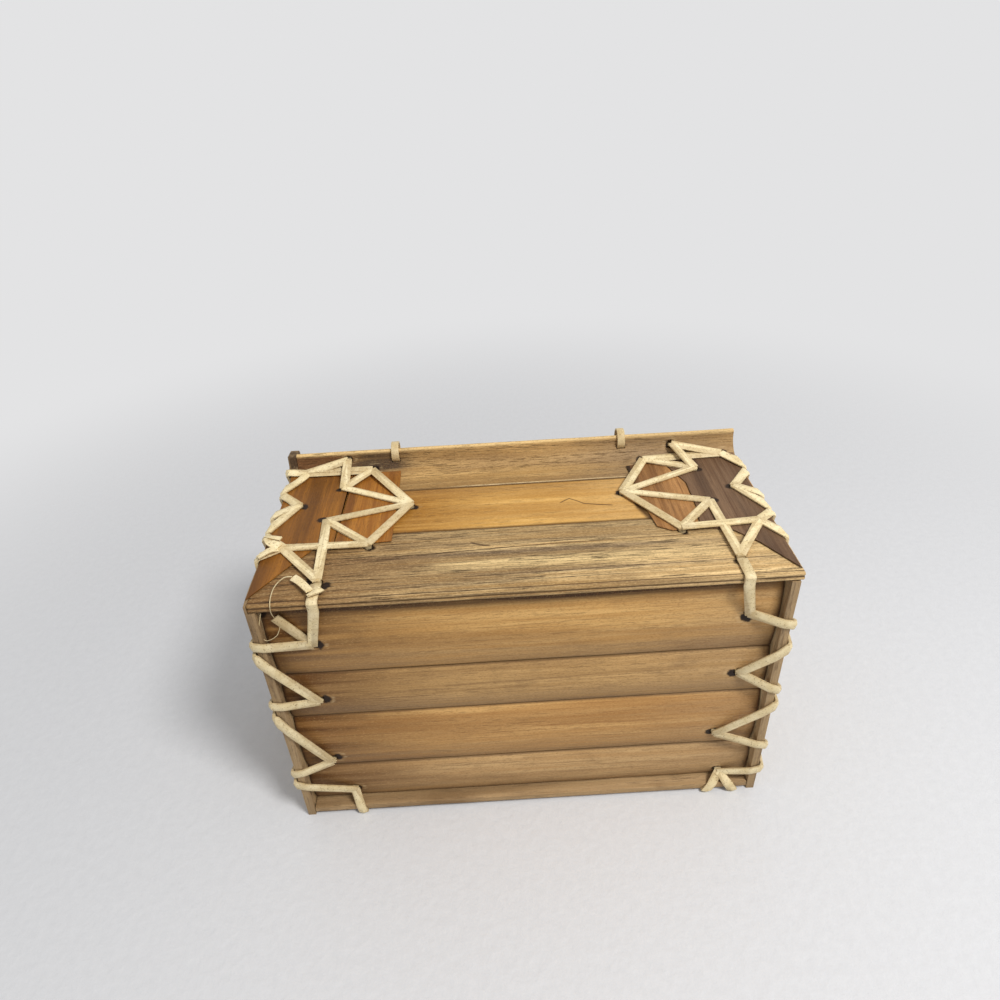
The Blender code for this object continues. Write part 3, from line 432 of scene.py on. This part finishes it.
def sliced(form, fibre, step):  # cut across the fibre, so that long faces can wave
    number = axisNumber[fibre]
    along = [vert.co[number] for vert in form.verts]
    low, high = min(along), max(along)
    count = max(1, round((high - low) / step))
    normal = Vector((fibre == "x", fibre == "y", fibre == "z"))
    for turn in range(1, count):
        place = normal * (low + (high - low) * turn / count)
        whole = form.verts[:] + form.edges[:] + form.faces[:]
        bmesh.ops.bisect_plane(form, geom=whole, dist=softening["weld"], plane_co=place, plane_no=normal)


def waved(form, size, length, seed):
    for vert in form.verts:
        vert.co += noise.noise_vector(vert.co / length + Vector((seed, 0, 0))) * size


def shown(name, form, material, body, slotName, *nodes):  # nodes are those that the piece replaces
    bmesh.ops.triangulate(form, faces=[face for face in form.faces if len(face.verts) > 4])
    for face in form.faces:
        face.smooth = True
    smoothBelow = math.radians(softening["smoothBelow"])
    for edge in form.edges:
        if len(edge.link_faces) == 2:
            edge.smooth = edge.calc_face_angle() < smoothBelow
    mesh = bpy.data.meshes.new(name)
    form.to_mesh(mesh)
    form.free()
    piece = bpy.data.objects.new(name, mesh)
    bpy.context.collection.objects.link(piece)
    mesh.materials.append(material)
    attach(piece, body)
    if nodes:
        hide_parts(*nodes)


def slat(node, body, slotName, fibre, material, reshape=None):
    form = mergedCopy(node)
    roundedOver(form, softening["roundOver"])
    sliced(form, fibre, softening["slice"])
    if reshape:
        reshape(form)
    waved(form, softening["wave"], softening["waveLength"], len(node))
    shown(node + "_worn", form, material, body, slotName, node)


def seamsOf(node, axis, reach=0.0011, strength=0.75):
    low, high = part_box(node)
    number = axisNumber[axis]
    return [(axis, low[number], reach, strength), (axis, high[number], reach, strength)]


print("the top's three slats")
topFront = bamboo(
    "coarse bamboo of the top front slat",
    "x",
    tone(102, 76, 46),
    tone(174, 138, 86),
    tone(244, 210, 152),
    pores=0.85,
    poreLength=2,
    grit=0.5,
    broad=0.6,
    lines=0.8,
    stain=0.3,
    relief=1.6,
    shift=1.3,
    seams=[*seamsOf("top_front_slat", "y", 0.0012, 0.7)[1:], ("z", 0.1094, 0.0004, 0.85)],
    holes=holesIn("top_front_slat"),
    cracks=(
        (((-17.6, -15.7), (-14.5, -17.1), (-12.6, -17.9), (-9.8, -18.2)), 0.00075),
        (((-44.0, -21.4), (-30.0, -21.0), (10.0, -19.2), (60.0, -18.6)), 0.00035),
        (((-20.0, -34.4), (10.0, -34.0), (50.0, -33.6), (85.0, -33.2)), 0.0003),
        # a dark line along the groove on top of the nosing
        (((-95.0, -41.5), (0.0, -41.3), (95.0, -41.5)), 0.0004),
    ),
    bands=(
        ("y", -0.0125, 0.0070, "x", -0.100, 0.100, 0.50, tone(124, 98, 64)),
        ("y", -0.0165, 0.0022, "x", -0.060, 0.050, 0.50, tone(92, 70, 48)),
        ("y", -0.0223, 0.0022, "x", -0.070, 0.090, 0.75, tone(96, 80, 66)),
        ("y", -0.0285, 0.0042, "x", -0.040, 0.110, 0.60, tone(250, 218, 156)),
        ("y", -0.0340, 0.0016, "x", -0.030, 0.110, 0.55, tone(112, 92, 72)),
        ("y", -0.0370, 0.0045, "x", -0.110, 0.010, 0.50, tone(100, 78, 56)),
        ("y", -0.0250, 0.0070, "x", -0.110, -0.020, 0.45, tone(116, 86, 54)),
        ("y", -0.0428, 0.0018, "x", -0.2, 0.2, 0.3, tone(104, 80, 52)),
        # painted shade towards the left end of the slat, then painted light towards its right end
        ("x", -0.0880, 0.0800, "y", -0.1, 0.1, 1.0, tone(122, 86, 46)),
        ("x", 0.0800, 0.0650, "y", -0.1, 0.1, 0.5, tone(236, 202, 146)),
    ),
)
topMiddle = bamboo(
    "golden bamboo of the top middle slat",
    "x",
    tone(164, 116, 54),
    tone(202, 152, 76),
    tone(234, 188, 112),
    pores=0.4,
    grit=0.45,
    broad=0.5,
    lines=0.5,
    stain=0.15,
    relief=0.8,
    shift=4.1,
    coat=0.04,
    seams=seamsOf("top_middle_slat", "y", 0.0010, 0.6),
    holes=holesIn("top_middle_slat"),
    cracks=(
        (
            ((16.0, 5.2), (18.6, 7.2), (20.3, 8.2), (22.7, 6.6), (25.3, 4.4), (30.8, 3.0), (36.3, 2.0)),
            0.00055,
        ),
        # painted shadow: a soft dark line on the slat under the lifted left edge of the right inner sheath
        # patch
        (((43.2, 4.6), (48.8, -10.4)), 0.0060),
    ),
    bands=(
        # the first band is painted shade towards the left end, the last painted light towards the right end
        ("x", -0.050, 0.055, "y", -0.1, 0.1, 1.2, tone(160, 110, 40)),
        ("y", 0.0180, 0.0065, "x", -0.2, 0.2, 0.65, tone(160, 116, 64)),
        ("x", 0.050, 0.045, "y", -0.1, 0.1, 0.4, tone(236, 196, 132)),
    ),
)
topRear = bamboo(
    "brown bamboo of the top rear slat",
    "x",
    tone(124, 92, 54),
    tone(174, 136, 82),
    tone(210, 172, 114),
    pores=0.55,
    grit=0.5,
    broad=0.55,
    lines=0.5,
    stain=0.3,
    relief=1.3,
    shift=7.7,
    seams=[("y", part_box("top_rear_slat")[0].y, 0.0010, 0.6)],
    holes=holesIn("top_rear_slat"),
    bands=(
        # painted shadow: a dark band at the foot of the lip over the left of the slat
        ("y", 0.0352, 0.0045, "x", -0.076, -0.034, 1.5, tone(76, 58, 40)),
        ("y", 0.0362, 0.0050, "x", -0.120, -0.058, 1.4, tone(112, 74, 42)),
        ("y", 0.0330, 0.0025, "x", -0.040, 0.060, 0.45, tone(122, 92, 58)),
        ("x", 0.060, 0.060, "y", -0.1, 0.1, 1.0, tone(146, 120, 88)),
        # painted highlight: a pale line along the rear slat's front edge
        ("y", 0.0214, 0.0007, "x", -0.030, 0.060, 0.9, tone(244, 216, 168)),
        ("z", 0.1204, 0.0018, "x", -0.2, 0.2, 1.1, tone(232, 198, 138)),
    ),
)
slat("top_front_slat", "chest", "bamboo_top", "x", topFront)
slat("top_middle_slat", "chest", "bamboo_top", "x", topMiddle)
slat("top_rear_slat", "chest", "bamboo_top", "x", topRear)

print("the front's four slats")
frontCrown = {"drop": 0.0009, "slices": 0.003, "outerHalf": -0.0381}


def crownedFront(form):  # a slat's outer face falls away towards its seams, as split bamboo does
    sliced(form, "z", frontCrown["slices"])
    heights = [vert.co.z for vert in form.verts]
    middle, half = (max(heights) + min(heights)) / 2, (max(heights) - min(heights)) / 2
    for vert in form.verts:
        if vert.co.y < frontCrown["outerHalf"]:
            vert.co.y += frontCrown["drop"] * ((vert.co.z - middle) / half) ** 2


frontTones = {  # dark, plain and light, then how stained
    "front_slat_highest": (tone(138, 96, 48), tone(190, 144, 82), tone(222, 178, 112), 0.35),
    "front_slat_upper": (tone(120, 88, 52), tone(172, 134, 82), tone(204, 164, 108), 0.45),
    "front_slat_lower": (tone(142, 96, 48), tone(186, 140, 82), tone(214, 170, 108), 0.2),
    "front_slat_lowest": (tone(128, 96, 60), tone(178, 140, 92), tone(202, 166, 116), 0.25),
}
# painted shade: the tone that the left ends of the front slats are darkened towards, away from the lamp
shade = tone(98, 62, 24)
for number, (node, (dark, plain, light, stain)) in enumerate(frontTones.items()):
    low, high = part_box(node)[0].z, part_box(node)[1].z
    look = bamboo(
        "honey bamboo of " + node,
        "x",
        dark,
        plain,
        light,
        pores=0.32,
        grit=0.45,
        broad=0.5,
        lines=0.6,
        stain=stain,
        relief=0.6,
        shift=11.0 + 2.3 * number,
        coat=0.04,
        seams=[*seamsOf(node, "z", 0.0009, 0.6), *seamsOf(node, "x", 0.0016, 0.85)],
        holes=holesIn(node),
        bands=(
            # painted light brightening the right ends of the front slats, then painted shade darkening
            # their left ends
            ("x", 0.095, 0.070, "z", -0.1, 0.2, 0.5, tone(176, 146, 108)),
            ("x", -0.098, 0.080, "z", -0.1, 0.2, 1.2, shade),
            # painted shade: each slat darker towards its lower edge, where its crowned face turns away from
            # the light
            ("z", low, 0.55 * (high - low), "x", -0.2, 0.2, 0.7, tone(140, 112, 80)),
            # painted shadow: a dark band across the top of the front slats, under the overhanging nosing of
            # the top
            ("z", 0.1072, 0.0066, "x", -0.2, 0.2, 2.8, tone(76, 50, 25)),
        ),
    )
    slat(node, "chest", "bamboo_front", "x", look, crownedFront)

print("the bottom, the ends and the rear panel")
plainTones = (tone(112, 86, 52), tone(168, 138, 94), tone(204, 174, 126))
bottomTones = (tone(118, 92, 60), tone(164, 134, 94), tone(194, 162, 120))
bottomLook = bamboo(
    "plain bamboo of the bottom",
    "x",
    *bottomTones,
    pores=0.4,
    broad=0.6,
    lines=0.4,
    stain=0.4,
    relief=1.2,
    shift=23.0,
)
for node in ("bottom_front_slat", "bottom_middle_slat", "bottom_rear_slat"):
    slat(node, "chest", "bamboo_plain", "x", bottomLook)

ear = {"from": 0.110, "keep": 0.76}


def lowerEar(form):  # the right ear stays below the line of the lip
    for vert in form.verts:
        if vert.co.z > ear["from"]:
            vert.co.z = ear["from"] + (vert.co.z - ear["from"]) * ear["keep"]


endTones = (tone(132, 104, 68), tone(184, 154, 110), tone(222, 194, 148))
for number, node in enumerate(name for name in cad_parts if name.startswith("end_")):
    look = bamboo(
        "fibrous bamboo of " + node,
        "z",
        *endTones,
        pores=0.45,
        broad=0.5,
        lines=0.5,
        stain=0.3,
        relief=1.3,
        shift=31.0 + 3.1 * number,
        dull=0.08,
        seams=[seam for seam in seamsOf(node, "y", 0.0009, 0.5) if abs(seam[1]) < 0.04],
        bands=(
            # painted shade on the face of the left ear
            ("z", 0.1175, 0.0070, "x", -0.2, 0.0, 1.2, tone(60, 43, 30)),
            ("y", -0.0428, 0.0050, "z", -0.1, 0.2, 0.6, tone(122, 98, 74)),
            # painted shade darkening the upper part of the left end
            ("z", 0.0900, 0.0500, "x", -0.2, 0.0, 0.6, tone(104, 80, 52)),
        ),
    )
    slat(node, "chest", "bamboo_plain", "z", look, lowerEar if node == "end_right_rear_slat" else None)
for number in range(1, 6):
    node = "lid_slat_" + str(number)
    look = bamboo(
        "honey bamboo of " + node,
        "x",
        tone(130, 92, 48),
        tone(182 - 6 * (number % 2), 136 - 4 * (number % 3), 78),
        tone(210, 164, 102),
        pores=0.3,
        broad=0.45,
        lines=0.35,
        stain=0.3,
        relief=0.8,
        shift=51.0 + 4.7 * number,
        coat=0.05,
        seams=seamsOf(node, "z", 0.0009, 0.6),
    )
    slat(node, "lid", "bamboo_front", "x", look)
cleatLook = bamboo("plain bamboo of the cleats", "z", *plainTones, pores=0.4, relief=1.0, shift=71.0)
for node in ("lid_cleat_left", "lid_cleat_right"):
    slat(node, "lid", "bamboo_plain", "z", cleatLook)

print("the sheath patches")
patchTones = {  # slot, then dark, plain and light
    "sheath_left_outer": ("sheath_brown", tone(82, 48, 14), tone(130, 82, 28), tone(168, 110, 38)),
    "sheath_left_inner": ("sheath_amber", tone(98, 54, 14), tone(142, 87, 27), tone(182, 122, 48)),
    "sheath_right_inner": ("sheath_amber", tone(84, 52, 24), tone(134, 90, 46), tone(188, 138, 84)),
    "sheath_right_outer": ("sheath_purple", tone(54, 35, 23), tone(94, 67, 45), tone(132, 103, 76)),
}
# painted shade along the lifted, folded left edge of the right inner patch
patchBands = {"sheath_right_inner": (("x", 0.0455, 0.0040, "y", 0.004, 0.060, 1.3, tone(44, 31, 20)),)}
patchRoundOver = 0.00008
for number, (node, (slotName, dark, plain, light)) in enumerate(patchTones.items()):
    look = bamboo(
        "sheath of " + node,
        "y",
        dark,
        plain,
        light,
        pores=0.35,
        broad=0.7,
        lines=0.45,
        stain=0.2,
        stainTone=tone(92, 64, 42),
        relief=0.6,
        shift=81.0 + 5.3 * number,
        coat=0.06,
        torn=0.0,
        holes=holesIn(node),
        bands=patchBands.get(node, ()),
    )
    form = mergedCopy(node)
    roundedOver(form, patchRoundOver, segments=1)
    shown(node + "_worn", form, look, "chest", slotName, node)

laceLook = {
    "roundOver": 0.00014,
    "wave": 0.00008,
    "waveLength": 0.006,
    "widen": 0.0004,
    "top": 0.1105,  # strips above this height lie flat on the top
    "under": 0.003,  # strips below this one lie flat under the bottom
    "front": -0.0388,  # strips before this plane lie against the front
    "rimAbove": 55,  # degrees
    "roundAbove": 45,
}
rattanPale = rattan("pale split rattan")
rattanShaded = rattan("split rattan painted darker as shade", 0.2)


def widened(form):  # each strip a little wider, and no thicker
    form.normal_update()
    for vert in form.verts:
        lying = vert.co.z > laceLook["top"] or vert.co.z < laceLook["under"]
        flat = 2 if lying else 1 if vert.co.y < laceLook["front"] else 0
        push = vert.normal.copy()
        push[flat] = 0.0
        vert.co += push * laceLook["widen"]


def lace(node, body):
    form = mergedCopy(node)
    rim = form.verts.layers.float.new("rim")
    for edge in sharpEdges(form, laceLook["rimAbove"]):
        for vert in edge.verts:
            vert[rim] = 1.0
    if node.startswith(("rattan_top", "rattan_corner")):
        widened(form)
    roundedOver(form, laceLook["roundOver"], laceLook["roundAbove"])
    waved(form, laceLook["wave"], laceLook["waveLength"], len(node))
    # painted shade: the strips down the corners and under the bottom are blended darker, as they get less
    # light than the top
    look = rattanShaded if node.startswith(("rattan_corner", "rattan_bottom")) else rattanPale
    shown(node + "_strip", form, look, body, "rattan", node)


print("the rattan lacing")
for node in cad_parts:
    if node.startswith(("rattan_", "hinge_ring_")):
        lace(node, "lid" if node.startswith("rattan_lid") else "chest")


def routed(points, share):  # a place on a smooth curve through the points, share from 0 to 1
    spot = share * (len(points) - 1)
    first = min(int(spot), len(points) - 2)
    rest = spot - first
    steps = (max(0, min(len(points) - 1, first + step)) for step in (-1, 0, 1, 2))
    before, start, end, after = (Vector(points[step]) for step in steps)
    return (
        start * 2
        + (end - before) * rest
        + (before * 2 - start * 5 + end * 4 - after) * rest**2
        + (start * 3 - before - end * 3 + after) * rest**3
    ) * 0.5


knotLook = {"thick": 0.0005, "crown": 0.0002, "along": 18, "across": 6, "ahead": 0.02}
knots = {  # points in millimetres, width in millimetres, twist from end to end in radians
    "tail_at_left_edge": (
        [(-84.3, -15.6, 113.2), (-86.6, -17.4, 113.9), (-90.0, -20.2, 113.4)],
        2.9,
        0.6,
    ),
    "turn_at_left_edge": (
        [(-88.6, -9.6, 113.3), (-87.2, -12.8, 114.1), (-83.6, -15.0, 113.6)],
        3.2,
        0.9,
    ),
    "pink_end_at_left_edge": (
        [(-90.3, -7.4, 112.9), (-87.2, -10.0, 114.3), (-83.6, -11.4, 114.4)],
        1.8,
        0.5,
    ),
    "tail_at_front_hole": (
        [(-75.7, -31.4, 112.6), (-72.6, -34.6, 113.1), (-68.6, -39.6, 113.3)],
        2.8,
        -0.5,
    ),
    "turn_at_front_hole": (
        [(-65.4, -37.6, 112.2), (-65.8, -39.6, 113.4), (-69.2, -41.6, 113.2)],
        2.8,
        1.1,
    ),
}


def stripAlong(name, points, width, twist):  # a short flat strip through the points, its flat side upwards
    form = bmesh.new()
    rim = form.verts.layers.float.new("rim")
    bmesh.ops.create_grid(form, x_segments=knotLook["along"], y_segments=knotLook["across"], size=0.5)
    ahead = knotLook["ahead"]
    for vert in form.verts:
        along, across = vert.co.x + 0.5, vert.co.y
        here = routed(points, along) * mm
        run = (routed(points, min(1, along + ahead)) - routed(points, max(0, along - ahead))).normalized()
        up = Matrix.Rotation(twist * (along - 0.5), 3, run) @ Vector((0, 0, 1))
        side = up.cross(run).normalized()
        up = run.cross(side)
        vert[rim] = (2 * abs(across)) ** 4
        vert.co = here + side * across * width + up * (knotLook["crown"] * (1 - 4 * across * across))
    bmesh.ops.recalc_face_normals(form, faces=form.faces)
    bmesh.ops.solidify(form, geom=form.faces[:], thickness=knotLook["thick"])
    bmesh.ops.recalc_face_normals(form, faces=form.faces)
    shown(name, form, rattanPale, "chest", "rattan")


print("knots and cut ends")
for name, (points, width, twist) in knots.items():
    stripAlong(name, points, width * mm, twist)

fibreLook = {"thick": 0.00042, "stepsPerPoint": 8, "taper": 0.35, "dull": 0.45}
rattanFibre = rattan("loose rattan fibre", fibreLook["dull"])
looseFibres = {  # points in millimetres
    "fibre_over_edge": [
        (-75.9, -31.4, 112.9),
        (-78.4, -32.4, 113.4),
        (-80.6, -36.0, 113.0),
        (-81.0, -40.6, 112.6),
        (-80.9, -43.6, 111.2),
        (-81.4, -42.9, 107.6),
        (-81.6, -41.2, 104.3),
    ],
    "fibre_at_cut_end": [
        (-85.6, -41.0, 106.3),
        (-87.2, -41.6, 100.6),
        (-87.4, -41.2, 96.3),
        (-86.0, -41.4, 94.4),
        (-82.2, -41.8, 96.8),
        (-80.3, -41.4, 100.6),
    ],
}


def fibre(name, points):
    curve = bpy.data.curves.new(name, "CURVE")
    curve.dimensions = "3D"
    curve.bevel_depth = fibreLook["thick"] / 2
    curve.bevel_resolution = 2
    line = curve.splines.new("POLY")
    steps = fibreLook["stepsPerPoint"] * len(points)
    line.points.add(steps)
    for number, point in enumerate(line.points):
        share = number / steps
        point.co = (*(routed(points, share) * mm), 1)
        point.radius = 1 - fibreLook["taper"] * share
    piece = bpy.data.objects.new(name, curve)
    bpy.context.collection.objects.link(piece)
    curve.materials.append(rattanFibre)
    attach(piece, "chest")


print("loose fibres")
for name, points in looseFibres.items():
    fibre(name, points)

stageLook = {
    "wool": (tone(209, 210, 213), tone(219, 220, 223)),
    "woolPerMetre": 260,
    "woolBump": 0.0003,
    "roughness": 0.9,
    "halfWidth": 6.0,
    "far": tone(227, 227, 228),
    "fade": (0.17, 0.55),
}
lighting = {
    "room": 0.5,
    "lampTone": (1.0, 0.985, 0.96),
    "aim": (0, 0, 0.06),
    "lamps": {  # place, size, power
        "overhead lamp": ((0.12, -0.1, 0.95), 0.5, 0.5),
        "side lamp": ((0.38, -0.41, 0.8), 0.24, 6.2),
    },
}


def seenRays(tree):  # 1 for rays from the camera, also by way of gloss or glass
    rays = tree.nodes.new("ShaderNodeLightPath")
    kinds = ("Camera", "Glossy", "Transmission")
    straight, glossy, through = (Value(tree, rays.outputs["Is " + kind + " Ray"]) for kind in kinds)
    return (straight + glossy).maths("ADD", through, clamp=True)


def plainStage():  # far off, the floor fades into the same pale tone as the room behind it
    made = Finish("pale plain floor")
    wool = made.cloud((stageLook["woolPerMetre"],) * 3, 4, 0.6)
    bump = made.node("ShaderNodeBump", Height=wool, Distance=stageLook["woolBump"])
    near = made.node(
        "ShaderNodeBsdfPrincipled",
        Base_Color=made.blend(wool, *stageLook["wool"]),
        Roughness=stageLook["roughness"],
        Normal=bump.outputs[0],
    )
    far = made.node("ShaderNodeEmission", Color=stageLook["far"])
    mix = made.node("ShaderNodeMixShader")
    farness = made.away((0, 0, 0)).rise(*stageLook["fade"])
    made.feed(mix.inputs[0], farness * seenRays(made.tree))
    made.feed(mix.inputs[1], near.outputs[0])
    made.feed(mix.inputs[2], far.outputs[0])
    made.node("ShaderNodeOutputMaterial", Surface=mix.outputs[0])
    form = bmesh.new()
    bmesh.ops.create_grid(form, x_segments=1, y_segments=1, size=stageLook["halfWidth"])
    mesh = bpy.data.meshes.new("floor")
    form.to_mesh(mesh)
    form.free()
    floor = bpy.data.objects.new("floor", mesh)
    bpy.context.collection.objects.link(floor)
    mesh.materials.append(made.material)


def lamp(name, place, size, power):
    light = bpy.data.lights.new(name, "AREA")
    light.shape = "DISK"
    light.size = size
    light.energy = power
    light.color = lighting["lampTone"]
    holder = bpy.data.objects.new(name, light)
    bpy.context.collection.objects.link(holder)
    holder.location = place
    holder.rotation_euler = (Vector(lighting["aim"]) - Vector(place)).to_track_quat("-Z", "Y").to_euler()


def studio():
    world = bpy.data.worlds.new("plain room")
    world.use_nodes = True
    tree = world.node_tree
    room = tree.nodes["Background"]
    room.inputs["Color"].default_value = (1.0, 1.0, 1.0, 1.0)
    room.inputs["Strength"].default_value = lighting["room"]
    behind = tree.nodes.new("ShaderNodeBackground")
    behind.inputs["Color"].default_value = stageLook["far"]
    mix = tree.nodes.new("ShaderNodeMixShader")
    for entry, source in zip(mix.inputs, (seenRays(tree).socket, room.outputs[0], behind.outputs[0])):
        tree.links.new(source, entry)
    tree.links.new(mix.outputs[0], tree.nodes["World Output"].inputs["Surface"])
    bpy.context.scene.world = world
    for name, look in lighting["lamps"].items():
        lamp(name, *look)


cameraPlace = {  # metres, degrees and, for lens and sensor, millimetres
    "place": (-0.00704, -0.22008, 0.26259),
    "turn": (56.5754, 2.7058, -2.0925),
    "lens": 26.152,
    "sensor": 36,
    "nearest": 0.01,
}


def camera():
    view = bpy.data.cameras.new("camera")
    view.lens = cameraPlace["lens"]
    view.sensor_width = cameraPlace["sensor"]
    view.sensor_fit = "HORIZONTAL"
    view.clip_start = cameraPlace["nearest"]
    holder = bpy.data.objects.new("camera", view)
    bpy.context.collection.objects.link(holder)
    holder.location = cameraPlace["place"]
    holder.rotation_euler = [math.radians(part) for part in cameraPlace["turn"]]
    bpy.context.scene.camera = holder


print("floor, light and camera")
plainStage()
studio()
camera()
bpy.context.scene.view_settings.view_transform = "Standard"
